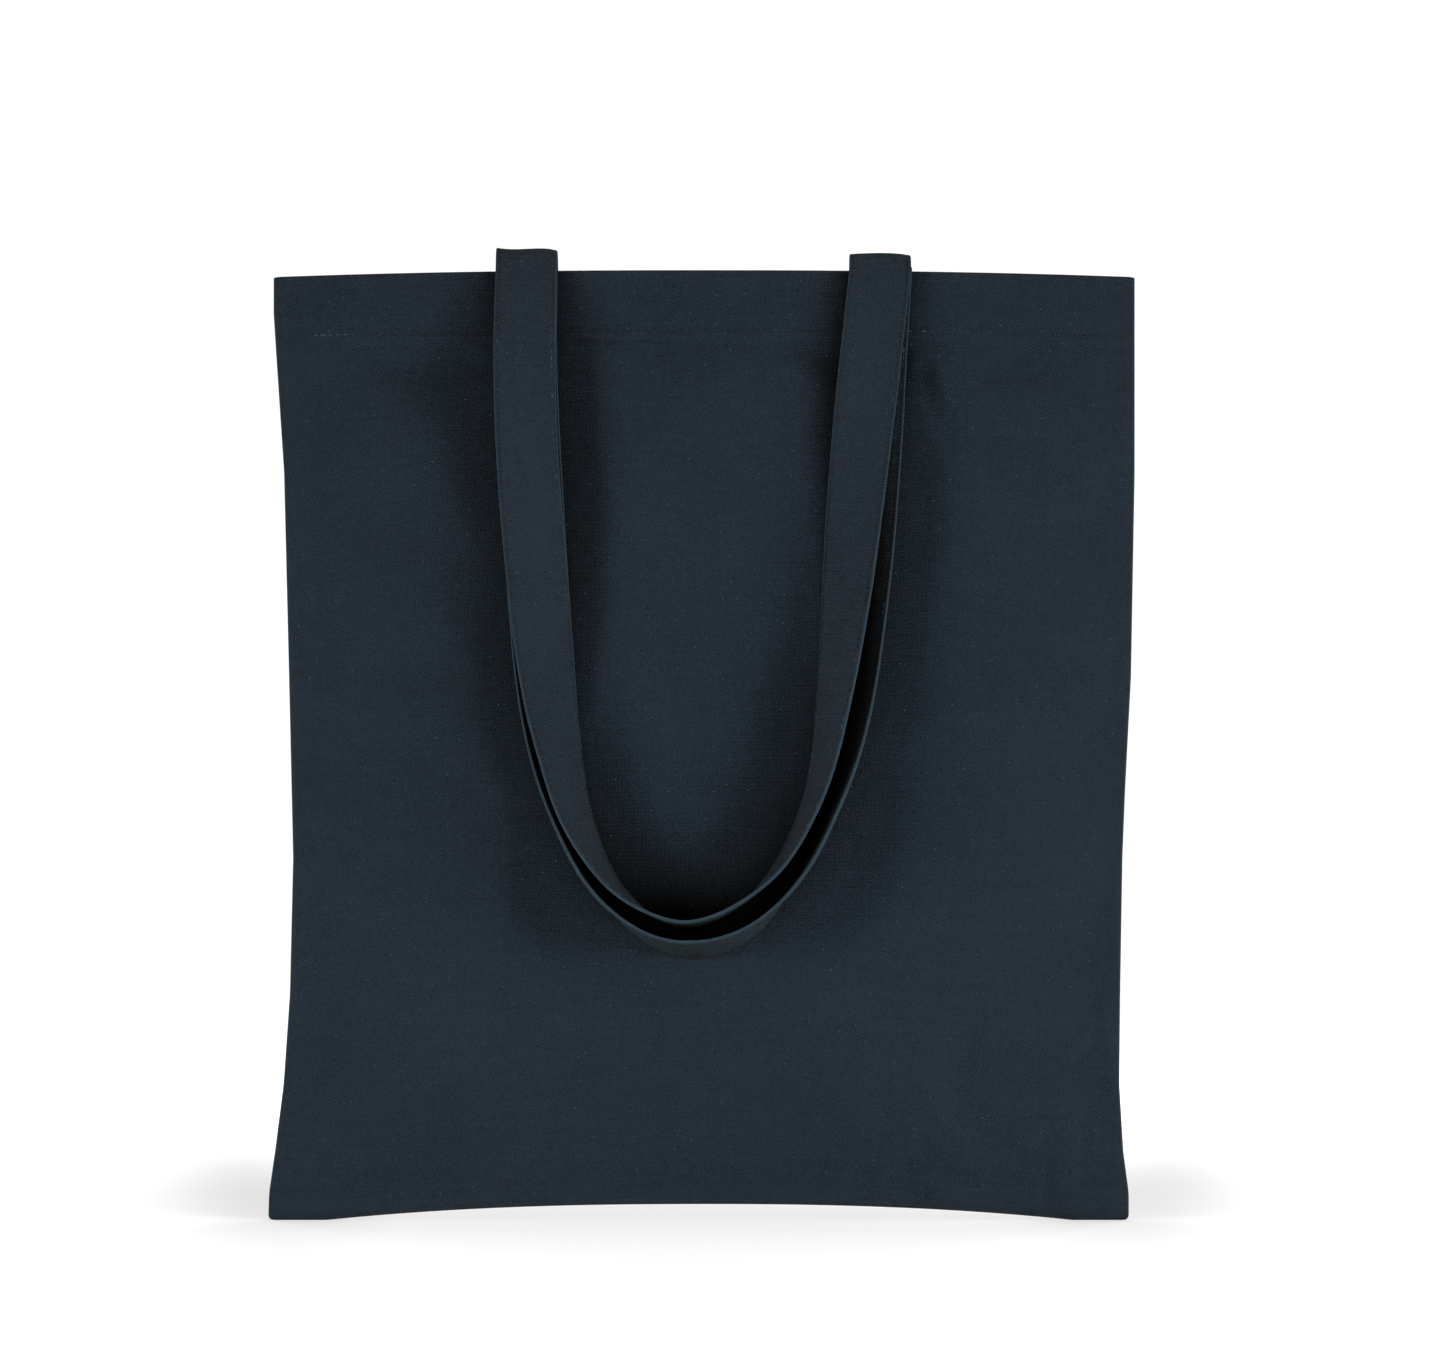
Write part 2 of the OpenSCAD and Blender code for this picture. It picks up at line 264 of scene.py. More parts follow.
# ------------------------------ the panels

SIM_COLUMNS = 62
SIM_ROWS = 68
FINE_COLUMNS = 132
FINE_ROWS = 132
# Extra columns and rows this far from the sewn edges, where the cloth rolls round.
EDGE_STEPS = (0, 0.3, 0.8, 1.4, 2.1, 3)


def cloth_grid(side, across, shares):
    """Points of the outer face at shares of the way from the bottom to the hem's top edge."""
    a, s = np.meshgrid(across, shares)
    x0 = a * BAG_W / 2
    z = mix(bottom_z(x0), top_z(x0), s)
    x = mix(left_x(z), right_x(z), (a + 1) / 2)
    return np.stack([x, side * outer_at(x, z), z], -1)


def cloth_object(grids, weights):
    """Both panels as one open pillow, its border points shared in the seam plane."""
    m, n = grids[-1].shape[:2]
    points = {}
    order, faces, pins, places = [], [], [], {}
    for side in (-1, 1):
        number = np.zeros((m, n), int)
        for i in range(m):
            for j in range(n):
                border = i == 0 or j in (0, n - 1)
                key = (i, j) if border else (i, j, side)
                if key not in points:
                    points[key] = len(order)
                    order.append(grids[side][i, j] * (1, 0 if border else 1, 1))
                    pins.append(weights[i, j])
                number[i, j] = points[key]
        places[side] = number
        for i in range(m - 1):
            for j in range(n - 1):
                quad = [number[i, j], number[i, j + 1], number[i + 1, j + 1], number[i + 1, j]]
                faces.append(quad if side < 0 else quad[::-1])
    obj = make_object("cloth_trial", np.array(order), faces)
    group = obj.vertex_groups.new(name="pin")
    for index, weight in enumerate(pins):
        group.add([index], float(weight), "REPLACE")
    return obj, places


SIM_FRAMES = 22
CLOTH_GROWTH = 0.014
SIM_PRESSURE = 0.6


def settle_cloth():
    """Lets the sewn panels buckle: the flat-cut cloth is wider than the span between its seams.

    Returns, for each side, how far every point of the trial grid moves.
    """
    across = np.linspace(-1, 1, SIM_COLUMNS + 1)
    shares = np.linspace(0, 1, SIM_ROWS + 1)
    grids = {side: cloth_grid(side, across, shares) for side in (-1, 1)}
    weights = np.zeros((SIM_ROWS + 1, SIM_COLUMNS + 1))
    weights[:, [0, -1]] = 1
    weights[0] = 1
    weights[shares > 1 - (HEM_H + 1) / BAG_H] = 1
    obj, places = cloth_object(grids, weights)
    start = np.array([v.co for v in obj.data.vertices]) / MM
    cloth = obj.modifiers.new("cloth", "CLOTH").settings
    cloth.quality = 6
    cloth.mass = 0.3
    cloth.tension_stiffness = cloth.compression_stiffness = 20
    cloth.shear_stiffness = 8
    cloth.bending_stiffness = 0.6
    cloth.tension_damping = cloth.compression_damping = cloth.shear_damping = 5
    cloth.bending_damping = 0.5
    cloth.air_damping = 1
    cloth.use_pressure = True
    cloth.uniform_pressure_force = SIM_PRESSURE
    cloth.shrink_min = -CLOTH_GROWTH
    cloth.vertex_group_mass = "pin"
    cloth.pin_stiffness = 1
    cloth.effector_weights.gravity = 0
    scene = bpy.context.scene
    for number in range(1, SIM_FRAMES + 1):
        scene.frame_set(number)
    shown = obj.evaluated_get(bpy.context.evaluated_depsgraph_get())
    ended = np.array([v.co for v in shown.data.vertices]) / MM
    scene.frame_set(1)
    mesh = obj.data
    bpy.data.objects.remove(obj)
    bpy.data.meshes.remove(mesh)
    return {side: (ended - start)[places[side]] for side in (-1, 1)}


BLUR_KEPT = 0.4
BLUR_SPREAD = 0.15


def blur(field, steps):
    """Evens a grid out, along both its directions, with its border kept."""
    out = field.copy()
    for _ in range(steps):
        inside = out[1:-1, 1:-1]
        around = out[:-2, 1:-1] + out[2:, 1:-1] + out[1:-1, :-2] + out[1:-1, 2:]
        out[1:-1, 1:-1] = inside * BLUR_KEPT + around * BLUR_SPREAD
    return out


def cubic_weights(places, count):
    """The matrix that reads a row of count values at places from 0 to count - 1, smoothly."""
    out = np.zeros((len(places), count))
    start = np.clip(np.floor(places).astype(int), 0, count - 2)
    t = places - start
    shares = (
        -0.5 * t + t**2 - 0.5 * t**3,
        1 - 2.5 * t**2 + 1.5 * t**3,
        0.5 * t + 2 * t**2 - 1.5 * t**3,
        -0.5 * t**2 + 0.5 * t**3,
    )
    for offset, share in enumerate(shares):
        np.add.at(out, (np.arange(len(places)), np.clip(start + offset - 1, 0, count - 1)), share)
    return out


# Soft folds: middle x and z, direction in degrees, half length, half width, and height outward.
FRONT_CREASES = [
    (170, 23, -10, 15, 3, 2.6),
    (169, 10, -3, 15, 3, 2.2),
    (158, 15, 100, 13, 2.6, 1.4),
    (144, 18, 106, 16, 3.4, 1.1),
    (180, 72, 92, 34, 1.8, 2),
    (-168, 20, 40, 20, 5, -0.7),
    (-108, 380, 62, 22, 4.5, -0.5),
    (128, 372, -30, 30, 7, -0.35),
]
BACK_CREASES = [
    (-172, 18, 8, 18, 5, -1.2),
    (170, 22, -35, 22, 6, -0.9),
    (40, 372, 20, 34, 7, -0.4),
]


def crease_heights(x, z, creases):
    """The folds' heights added up, each a soft ridge or dent along its direction."""
    total = np.zeros_like(x)
    for mid_x, mid_z, angle, half_l, half_w, height in creases:
        c, s = math.cos(math.radians(angle)), math.sin(math.radians(angle))
        along = ((x - mid_x) * c + (z - mid_z) * s) / half_l
        across = ((z - mid_z) * c - (x - mid_x) * s) / half_w
        total += height * np.exp(-(along**2) - across**2)
    return total


def catmull_rom(points, steps):
    """Points of a smooth curve through a route, as the frame draws it."""
    p = np.array(points, float)
    out = []
    for i in range(len(p) - 1):
        a, b, c, d = p[max(i - 1, 0)], p[i], p[i + 1], p[min(i + 2, len(p) - 1)]
        for t in np.arange(steps) / steps:
            turn = (2 * a - 5 * b + 4 * c - d) * t * t + (3 * b - a - 3 * c + d) * t**3
            out.append(0.5 * (2 * b + (c - a) * t + turn))
    out.append(p[-1])
    return np.array(out)


def strap_distance(x, z):
    """How far points of the front are from the nearer handle's middle line, seen from the front."""
    best = np.full(x.shape, 1e9)
    for route in (FRONT_ROUTE, BACK_ROUTE):
        for px, pz in catmull_rom(route, 4)[:, :2]:
            best = np.minimum(best, np.hypot(x - px, z - pz))
    return best


UNDER_STRAP_RISE = 0.35
UNDER_STRAP_REACH = 17
UNDER_STRAP_FADE = 30
OPEN_RISE = 3.5
MOST_SINK = 5
LEVELLING_STEPS = 260
KEPT_SWELL = 0.15


def buckles(moved, side, across, shares):
    """The simulated shape at finer places: folds kept, overall swelling levelled, straps left clear."""
    field = moved.copy()
    swell = blur(field[..., 1], LEVELLING_STEPS)
    field[..., 1] -= swell * (1 - KEPT_SWELL)
    rows = cubic_weights(shares * SIM_ROWS, SIM_ROWS + 1)
    columns = cubic_weights((across + 1) / 2 * SIM_COLUMNS, SIM_COLUMNS + 1)
    out = np.einsum("ri,ijk,cj->rck", rows, field, columns)
    grid = cloth_grid(side, across, shares)
    rise = out[..., 1] * side
    if side < 0:
        near = strap_distance(grid[..., 0], grid[..., 2])
        free = smooth((near - UNDER_STRAP_REACH) / UNDER_STRAP_FADE)
        most = mix(UNDER_STRAP_RISE, OPEN_RISE, free)
    else:
        most = OPEN_RISE
    rise = np.where(rise > 0, most * np.tanh(rise / most), MOST_SINK * np.tanh(rise / MOST_SINK))
    out[..., 1] = rise * side
    return out


GROOVE_DEPTH = 0.32
GROOVE_HALF_W = 0.9
STEP_DEPTH = 0.55
STEP_EARLY = 0.6
STEP_RUN = 2.4
STEP_FADE = 34


def hem_relief(drop):
    """Height of the outer face at a distance below the top edge: a stitch groove and the hem's step."""
    groove = -GROOVE_DEPTH * np.exp(-(((drop - HEM_ROW_DROP) / GROOVE_HALF_W) ** 2))
    starts = smooth((drop - HEM_H + STEP_EARLY) / STEP_RUN)
    step = -STEP_DEPTH * starts * (1 - smooth((drop - HEM_H) / STEP_FADE))
    return groove + step


def round_over(distance, radius):
    """From 0 on a sewn edge to 1 where the cloth has rolled round into the panel."""
    d = np.clip(distance / radius, 0, 1)
    return np.sqrt(np.maximum(0, 1 - (1 - d) ** 2))


EDGE_GAP = 4.5
SIDE_GAP = 5
HEM_MARGIN = 6
HEM_ROW_STEP = 0.8
HEM_ROW_ABOVE = 4
TOP_ROW_STEP = 2.2
TOP_ROW_ABOVE = 5.5


def panel_rows():
    """Shares of the height for the outer face's rows: fine at the bottom edge and at the hem."""
    low = np.array(EDGE_STEPS) / BAG_H
    fine_from = BAG_H - HEM_H - HEM_MARGIN
    stitch_z = BAG_H - HEM_ROW_DROP
    body = np.linspace(EDGE_GAP, fine_from, FINE_ROWS) / BAG_H
    hem = np.arange(fine_from + HEM_ROW_STEP, stitch_z + HEM_ROW_ABOVE, HEM_ROW_STEP) / BAG_H
    top = np.arange(stitch_z + TOP_ROW_ABOVE, BAG_H - HEM_LAYERS_T / 2 - 1, TOP_ROW_STEP) / BAG_H
    return np.concatenate([low, body, hem, top])


def panel_columns():
    """Places across from -1 to 1 for the outer face's columns, fine at the side seams."""
    edge = -1 + np.array(EDGE_STEPS) / (BAG_W / 2)
    gap = SIDE_GAP / (BAG_W / 2)
    body = np.linspace(-1 + gap, 1 - gap, FINE_COLUMNS)
    return np.concatenate([edge, body, -edge[::-1]])


CORNER_R = 2.6
# The least that the outer face stands from the seam plane, over the seam allowances and their stitches.
ALLOWANCE_CLEAR = 2.4
HEM_SQUEEZE = 3
CREASE_SIDE_FADE = 9
CREASE_BOTTOM_FADE = 7
BUCKLE_FADE = 5
BUCKLE_HEM_FADE = 6


def outer_face(side, moved):
    """Grid of the panel's outer face up to the fold of the hem."""
    across, shares = panel_columns(), panel_rows()
    grid = cloth_grid(side, across, shares)
    x, y, z = grid[..., 0], grid[..., 1] * side, grid[..., 2]
    drop = top_z(x) - z
    roll = edge_at(z)
    from_side = np.minimum(x - left_x(z), right_x(z) - x)
    from_bottom = z - bottom_z(x)
    body = y - roll
    rolled = roll * round_over(from_side, roll) * round_over(from_bottom, roll)
    creases = crease_heights(x, z, FRONT_CREASES if side < 0 else BACK_CREASES)
    inside = smooth(from_side / CREASE_SIDE_FADE) * smooth(from_bottom / CREASE_BOTTOM_FADE)
    y = body + rolled + (hem_relief(drop) + creases) * inside
    out = np.stack([x, y * side, z], -1)
    keep = smooth(from_side / BUCKLE_FADE) * smooth(from_bottom / BUCKLE_FADE)
    keep = (keep * smooth((drop - HEM_H) / BUCKLE_HEM_FADE))[..., None]
    out += buckles(moved[side], side, across, shares) * keep
    clear = np.minimum(ALLOWANCE_CLEAR, np.abs(y))
    out[..., 1] = side * np.maximum(out[..., 1] * side, clear)
    corner_x = np.maximum(0, CORNER_R - from_side)
    corner_z = np.maximum(0, CORNER_R - from_bottom)
    reach = np.hypot(corner_x, corner_z)
    both = (corner_x > 0) & (corner_z > 0) & (reach > CORNER_R)
    pull = np.where(both, 1 - CORNER_R / np.maximum(reach, 1e-9), 0)
    out[..., 0] += np.where(x < 0, 1, -1) * corner_x * pull
    out[..., 2] += corner_z * pull
    return out


TUCK_R = 0.82
THIN_HEM_REACH = 12
THIN_HEM_SHARE = 0.55
HEM_INSIDE_STEP = 3.2


def hem_fold(side, last_row):
    """Rows that turn over the top edge, run down inside as the hem and tuck under at its end."""
    x = last_row[:, 0]
    across = across_at(x, last_row[:, 2])
    half = HEM_LAYERS_T / 2
    top = top_z(x)
    face = last_row[:, 1] * side
    room = smooth((BAG_W / 2 - np.abs(x)) / THIN_HEM_REACH)
    half = mix(half * THIN_HEM_SHARE, half, room)
    rows = []

    def add(inset, z, squeeze):
        pulled = x - across * HEM_SQUEEZE * squeeze
        rows.append(np.stack([pulled, (face - inset) * side, z], -1))

    for angle in np.radians(np.arange(0, 181, 20)):
        add(half * (1 - math.cos(angle)), top - half + half * math.sin(angle), smooth(angle / math.pi))
    deep = 2 * half
    for down in np.arange(3, HEM_H - 1, HEM_INSIDE_STEP):
        add(deep, top - half - down, 1)
    end = top - HEM_H + TUCK_R
    for angle in np.radians(np.arange(0, 181, 30)):
        add(deep - TUCK_R * (1 - math.cos(angle)), end - TUCK_R * math.sin(angle), 1)
    for up in (3, 6, HEM_TUCK):
        add(deep - 2 * TUCK_R, end + up, 1)
    return np.array(rows)


def grid_uv(grid, mirror):
    """Cloth coordinates of a panel's grid: across the cut, and along it from its bottom edge."""
    middle = grid[:, grid.shape[1] // 2]
    v = np.concatenate([[0], np.cumsum(np.linalg.norm(np.diff(middle, axis=0), axis=1))])
    u = grid[grid.shape[0] // 2, :, 0]
    return np.stack(np.broadcast_arrays(mirror * u[None, :], v[:, None]), -1)


def make_panel(name, side, moved):
    """A panel of one sheet of cloth with its hem rolled in, and its outer face's grid."""
    face = outer_face(side, moved)
    grid = np.concatenate([face, hem_fold(side, face[-1])])
    uv = grid_uv(grid, -side)
    if side > 0:
        grid, uv = grid[:, ::-1], uv[:, ::-1]
    outer = grid + (0, SEAM_Y, 0)
    inner = outer - grid_normals(outer) * CLOTH_T
    return slab(name, outer, inner, uv), face


# ------------------------------ seam allowances inside

PLY_WAVE = 0.5
PLY_ROWS = 5
PLY_HALF_T = CLOTH_T * 0.98


def wavy_strip(name, near, far, seed):
    """Two plies of seam allowance between two lines in the seam plane, a little wavy at the cut edge."""
    rng = np.random.default_rng(seed)
    near, far = np.array(near, float), np.array(far, float)
    count = len(near)
    along = np.linspace(0, 1, count)
    wave = sum(np.sin(along * math.tau * k + rng.uniform(0, math.tau)) * PLY_WAVE / k for k in (3, 7, 13))
    shares = np.linspace(0, 1, PLY_ROWS)
    middle = near[:, None] + (far - near)[:, None] * shares[None, :, None]
    lean = wave[:, None] * shares[None, :] ** 2
    grid = np.stack([middle[..., 0], lean, middle[..., 1]], -1)
    front = grid + (0, SEAM_Y - PLY_HALF_T, 0)
    back = grid + (0, SEAM_Y + PLY_HALF_T, 0)
    length = np.concatenate([[0], np.cumsum(np.linalg.norm(np.diff(near, axis=0), axis=1))])
    uv = np.stack(np.broadcast_arrays(shares[None, :] * SEAM_W, length[:, None]), -1)
    if np.cross(near[-1] - near[0], far[0] - near[0]) > 0:
        return slab(name, back, front, uv)
    return slab(name, front, back, uv)


SEAM_TOP = BAG_H - HEM_H - 1
SEAM_GAP = 3.5
SEAM_COUNT = 90
SEAM_EDGE = 0.9


def side_lines(side, *insets):
    """Lines along a side seam, each at an inset from the sewn edge."""
    z = np.linspace(3, SEAM_TOP, SEAM_COUNT)
    edge = left_x(z) if side < 0 else right_x(z)
    return [np.stack([edge - side * inset, z], -1) for inset in insets]


def bottom_lines(*insets):
    """Lines along the bottom seam between the side allowances, each at an inset."""
    low = left_x(0) + SEAM_W + SEAM_GAP
    high = right_x(0) - SEAM_W - SEAM_GAP
    x = np.linspace(low, high, SEAM_COUNT)
    return [np.stack([x, bottom_z(x) + inset], -1) for inset in insets]


def seam_runs(line):
    """One seam's stitches, on both faces of its allowances."""
    points = np.stack([line[:, 0], np.full(len(line), float(SEAM_Y)), line[:, 1]], -1)
    return [
        (points + (0, face * CLOTH_T, 0), np.tile([0.0, float(face), 0.0], (len(line), 1)))
        for face in (-1, 1)
    ]


# ------------------------------ the handles


def route_rows(points):
    """Middles, outward widths and faces of a strap along the bag's front, as the frame has them."""
    p = catmull_rom(points, 3)
    run = unit(p[2:, :2] - p[:-2, :2])
    p = p[1:-1]
    outward = np.stack([run[:, 1], -run[:, 0]], -1)
    c, s = np.cos(np.radians(p[:, 2])), np.sin(np.radians(p[:, 2]))
    inner = p[:, :2] - outward * c[:, None] * STRAP_W / 2
    y = -outer_at(inner[:, 0], inner[:, 1]) - p[:, 3] - (STRAP_W * s + STRAP_T * np.abs(c)) / 2
    middle = np.stack([p[:, 0], y, p[:, 1]], -1)
    width = np.stack([outward[:, 0] * c, -s, outward[:, 1] * c], -1)
    along = np.stack([run[:, 0], np.zeros(len(run)), run[:, 1]], -1)
    return middle, width, np.cross(width, along)


END_ROWS = 9
FOLD_ROWS = 15


def end_rows(side, x, bag_side, fold_r):
    """A sewn end and the fold over the hem, from the end's foot to where the strap hangs free."""
    end_y = bag_side * END_Y
    fold_y = end_y - fold_r
    heights = np.linspace(FOLD_Z - SEWN_DROP - SEWN_L, FOLD_Z - 1, END_ROWS)
    angles = np.radians(np.linspace(0, 180, FOLD_ROWS))
    y = np.concatenate([np.full(len(heights), end_y), fold_y + fold_r * np.cos(angles)])
    z = np.concatenate([heights, FOLD_Z + fold_r * np.sin(angles)])
    turn = np.concatenate([np.zeros(len(heights)), angles])
    middle = np.stack([np.full(len(y), float(x)), y, z], -1)
    width = np.tile([float(side), 0, 0], (len(y), 1))
    face = np.stack([np.zeros(len(y)), np.cos(turn), np.sin(turn)], -1)
    return middle, width, face


def resample(rows, step):
    """Rows of a strap again, evenly spaced along it, with tidy frames."""
    middle, width, face = rows
    along = np.concatenate([[0], np.cumsum(np.linalg.norm(np.diff(middle, axis=0), axis=1))])
    count = int(round(along[-1] / step)) + 1
    even = np.linspace(0, along[-1], count)
    places = np.interp(even, along, np.arange(len(along)))
    weights = cubic_weights(places, len(along))
    middle, width, face = (weights @ part for part in (middle, width, face))
    for _ in range(3):
        middle[1:-1] = middle[1:-1] * 0.5 + (middle[:-2] + middle[2:]) * 0.25
        width[1:-1] = width[1:-1] * 0.5 + (width[:-2] + width[2:]) * 0.25
    tangent = unit(np.gradient(middle, axis=0))
    width = unit(width - (width * tangent).sum(1, keepdims=True) * tangent)
    face = np.cross(width, tangent) * np.sign((np.cross(width, tangent) * face).sum(1, keepdims=True))
    return even, middle, width, face


STRAP_STEP = 2.2


def strap_line(route, bag_side, fold_r):
    """A handle's middle line with its frames, from its left sewn end to its right one."""
    left = end_rows(-1, route[0][0], bag_side, fold_r)
    right = end_rows(1, route[-1][0], bag_side, fold_r)
    loop = route_rows(route)
    rows = [np.concatenate([a, b, c[::-1]]) for a, b, c in zip(left, loop, right)]
    return resample(rows, STRAP_STEP)


def both_ends(route):
    """The sewn ends' places along the hem, left and right."""
    return route[0][0], route[-1][0]


ROW_GROOVE_DEPTH = 0.2
ROW_GROOVE_HALF_W = 0.6
LEAST_HALF_T = 0.06


def strap_profile():
    """Half the strap's thickness at places across it: rounded edges, a groove at each stitch row."""
    half_w, half_t = STRAP_W / 2, STRAP_T / 2
    edge = [half_w - half_t * (1 - math.sin(a)) for a in np.radians([90, 62, 36, 14])]
    row = half_w - STRAP_ROW_IN
    inner = [row + 0.75, row + 0.3, row - 0.3, row - 0.75, row - 2.2, 7.5, 4, 0]
    places = np.array(edge + inner)
    heights = []
    for place in places:
        rounding = half_w - place
        round_t = half_t * math.sqrt(max(0, 1 - max(0, 1 - rounding / half_t) ** 2))
        groove = ROW_GROOVE_DEPTH * math.exp(-(((place - row) / ROW_GROOVE_HALF_W) ** 2))
        heights.append(max(LEAST_HALF_T, round_t - groove))
    return places, np.array(heights)


# How far a fold's top rises above its even height, at places across the strap, left and right.
LEFT_FOLD_TOP = ((-1, 1.1), (-0.35, 0.25), (0.25, 0.6), (1, -0.3))
RIGHT_FOLD_TOP = ((-1, -1.8), (-0.1, -1.4), (0.6, -1.7), (1, -2.4))
FOLD_TOP_H = 8


def uneven_tops(points):
    """A strap's points with the tops of its folds a little uneven, as slack cloth lies."""
    left, right = both_ends(BACK_ROUTE)
    x = points[..., 0]
    share = smooth((points[..., 2] - BAG_H) / FOLD_TOP_H)
    rises = []
    for middle, tops in ((left, LEFT_FOLD_TOP), (right, RIGHT_FOLD_TOP)):
        across = np.clip((x - middle) / (STRAP_W / 2), -1, 1)
        rises.append(np.polyval(np.polyfit(*zip(*tops), 3), across))
    out = points.copy()
    out[..., 2] += share * np.where(x < 0, *rises)
    return out


# Waves along a strap, each with its count and size, then how far its edges cup at each count.
STRAP_WAVES = ((5, 0.16), (9, 0.12), (17, 0.08))
STRAP_CUPS = ((3, 0.1), (7, 0.1), (11, 0.1))
CUP_MIDDLE = 0.4
STILL_L = 45
STILL_FADE = 40
# Width of the pale band on the straps' edges: wear and painted highlight.
RUBBED_AND_LIT_EDGE_W = 0.55


def waves(share, sizes, rng):
    """Sine waves of the given counts and sizes added up, each with its own start."""
    out = np.zeros(len(share))
    for count, size in sizes:
        out += size * np.sin(share * math.tau * count + rng.uniform(0, math.tau))
    return out


def make_strap(name, line, seed):
    """One continuous strap: its sewn ends, its folds and its free loop."""
    along, middle, width, face = line
    places, heights = strap_profile()
    offsets = np.concatenate([places, -places[-2::-1]])
    thick = np.concatenate([heights, heights[-2::-1]])
    offsets = np.concatenate([offsets, offsets[::-1]])
    lifts = np.concatenate([thick, -thick[::-1]])
    rng = np.random.default_rng(seed)
    from_left, from_right = along - STILL_L, along[-1] - STILL_L - along
    free = smooth(from_left / STILL_FADE) * smooth(from_right / STILL_FADE)
    wave = waves(along / along[-1], STRAP_WAVES, rng)
    cup = waves(along / along[-1], STRAP_CUPS, rng)
    shape = (offsets / (STRAP_W / 2)) ** 2 - CUP_MIDDLE
    lift = lifts[None, :] + (free * wave)[:, None] + (free * cup)[:, None] * shape[None, :]
    rings = middle[:, None] + width[:, None] * offsets[None, :, None] + face[:, None] * lift[..., None]
    rings = uneven_tops(rings) + (0, SEAM_Y, 0)
    section = np.stack([offsets, lifts], -1)
    steps = np.linalg.norm(np.diff(section, axis=0, append=section[:1]), axis=1)
    round_it = np.concatenate([[0], np.cumsum(steps)])
    uv = np.stack(np.broadcast_arrays(round_it[None, :], along[:, None]), -1)
    obj = tube_grid(name, rings, uv)
    # A pale band along each edge: wear, and a painted highlight where the edge catches the light.
    edge = smooth((np.abs(offsets) - STRAP_W / 2 + RUBBED_AND_LIT_EDGE_W) / 0.5)
    set_attribute(obj, "edge", np.tile(edge, len(along)))
    return obj, lambda offset, side: strap_surface(line, free, wave, cup, offset, side)


def strap_surface(line, free, wave, cup, offset, side):
    """A line on one face of a finished strap, at an offset across it, with that face's normals."""
    along, middle, width, face = line
    shape = (offset / (STRAP_W / 2)) ** 2 - CUP_MIDDLE
    lift = side * (STRAP_T / 2 - ROW_GROOVE_DEPTH) + free * wave + free * cup * shape
    points = middle + width * offset + face * lift[:, None]
    return uneven_tops(points) + (0, SEAM_Y, 0), face * side


# ------------------------------ stitches

STITCH_L = 2.5
STITCH_GAP = 0.75
STITCH_TILT = 0.05
THREAD_R = 0.22
THREAD_FLAT = 1.15
THREAD_SINK = 0.7
THREAD_UV_STEPS = (0.6, 0.35)
THREAD_UV_JUMP = 4.7
# Rings along a stitch: where they are, how thick, and how far they sink into the cloth.
RING_PLACES = np.array([-1, -0.72, 0, 0.72, 1])
RING_SIZES = np.array([0.3, 0.85, 1, 0.85, 0.3])
RING_SINKS = np.array([-0.9, -0.25, 0.15, -0.25, -0.9])
RING_SIDES = 6


def stitch_places(points, normals):
    """Middles, directions and normals of a run of stitches along a line."""
    along = np.concatenate([[0], np.cumsum(np.linalg.norm(np.diff(points, axis=0), axis=1))])
    pitch = STITCH_L + STITCH_GAP
    count = max(1, int((along[-1] - STITCH_GAP) / pitch))
    at = (np.arange(count) + 0.5) * along[-1] / count

    def read(values, places):
        return np.stack([np.interp(places, along, values[:, k]) for k in range(3)], -1)

    ahead = read(points, at + STITCH_L / 2) - read(points, at - STITCH_L / 2)
    return read(points, at), unit(ahead), unit(read(normals, at))


def make_stitches(name, runs, seed):
    """All of a piece's stitches as one object of small bars of thread, half sunk in the cloth."""
    rng = np.random.default_rng(seed)
    middle, along, normal = (np.concatenate(parts) for parts in zip(*(stitch_places(*run) for run in runs)))
    normal = unit(normal - (normal * along).sum(1, keepdims=True) * along)
    side = np.cross(along, normal)
    count = len(middle)
    tilt = rng.normal(0, STITCH_TILT, count)[:, None]
    along = unit(along + side * tilt)
    side = np.cross(along, normal)
    length = STITCH_L / 2 * rng.uniform(0.92, 1.05, count)
    angles = np.arange(RING_SIDES) * math.tau / RING_SIDES
    points = np.zeros((count, len(RING_PLACES), RING_SIDES, 3))
    for r, (place, size, sink) in enumerate(zip(RING_PLACES, RING_SIZES, RING_SINKS)):
        for k, angle in enumerate(angles):
            out = THREAD_R * (size * math.sin(angle) + sink * THREAD_SINK)
            across = THREAD_R * THREAD_FLAT * size * math.cos(angle)
            points[:, r, k] = middle + along * (place * length)[:, None] + side * across + normal * out
    rings, sides = len(RING_PLACES), RING_SIDES
    block = []
    for r in range(rings - 1):
        for k in range(sides):
            nxt = (k + 1) % sides
            block.append([r * sides + k, (r + 1) * sides + k, (r + 1) * sides + nxt, r * sides + nxt])
    block += [list(range(sides)), [(rings - 1) * sides + k for k in range(sides)][::-1]]
    along_step, round_step = THREAD_UV_STEPS
    faces, uvs = [], []
    for s in range(count):
        base = s * rings * sides
        for face in block:
            faces.append([base + v for v in face])
            for v in face:
                uvs.append(((v // sides) * along_step + s * THREAD_UV_JUMP, (v % sides) * round_step))
    return make_object(name, points.reshape(-1, 3), faces, np.array(uvs))


def face_row(face, side, drop):
    """A line across a panel's outer face, at a distance below its top edge."""
    heights = top_z(face[:, :, 0]) - face[:, :, 2]
    line = []
    for j in range(2, face.shape[1] - 2):
        order = np.argsort(heights[:, j])
        line.append([np.interp(drop, heights[order, j], face[order, j, k]) for k in range(3)])
    points = np.array(line) + (0, SEAM_Y, 0)
    normals = np.tile([0.0, float(side), 0.0], (len(points), 1))
    return points, normals


BOX_INSET = 3
BOX_HALF_H = 9
BOX_DROP = 13


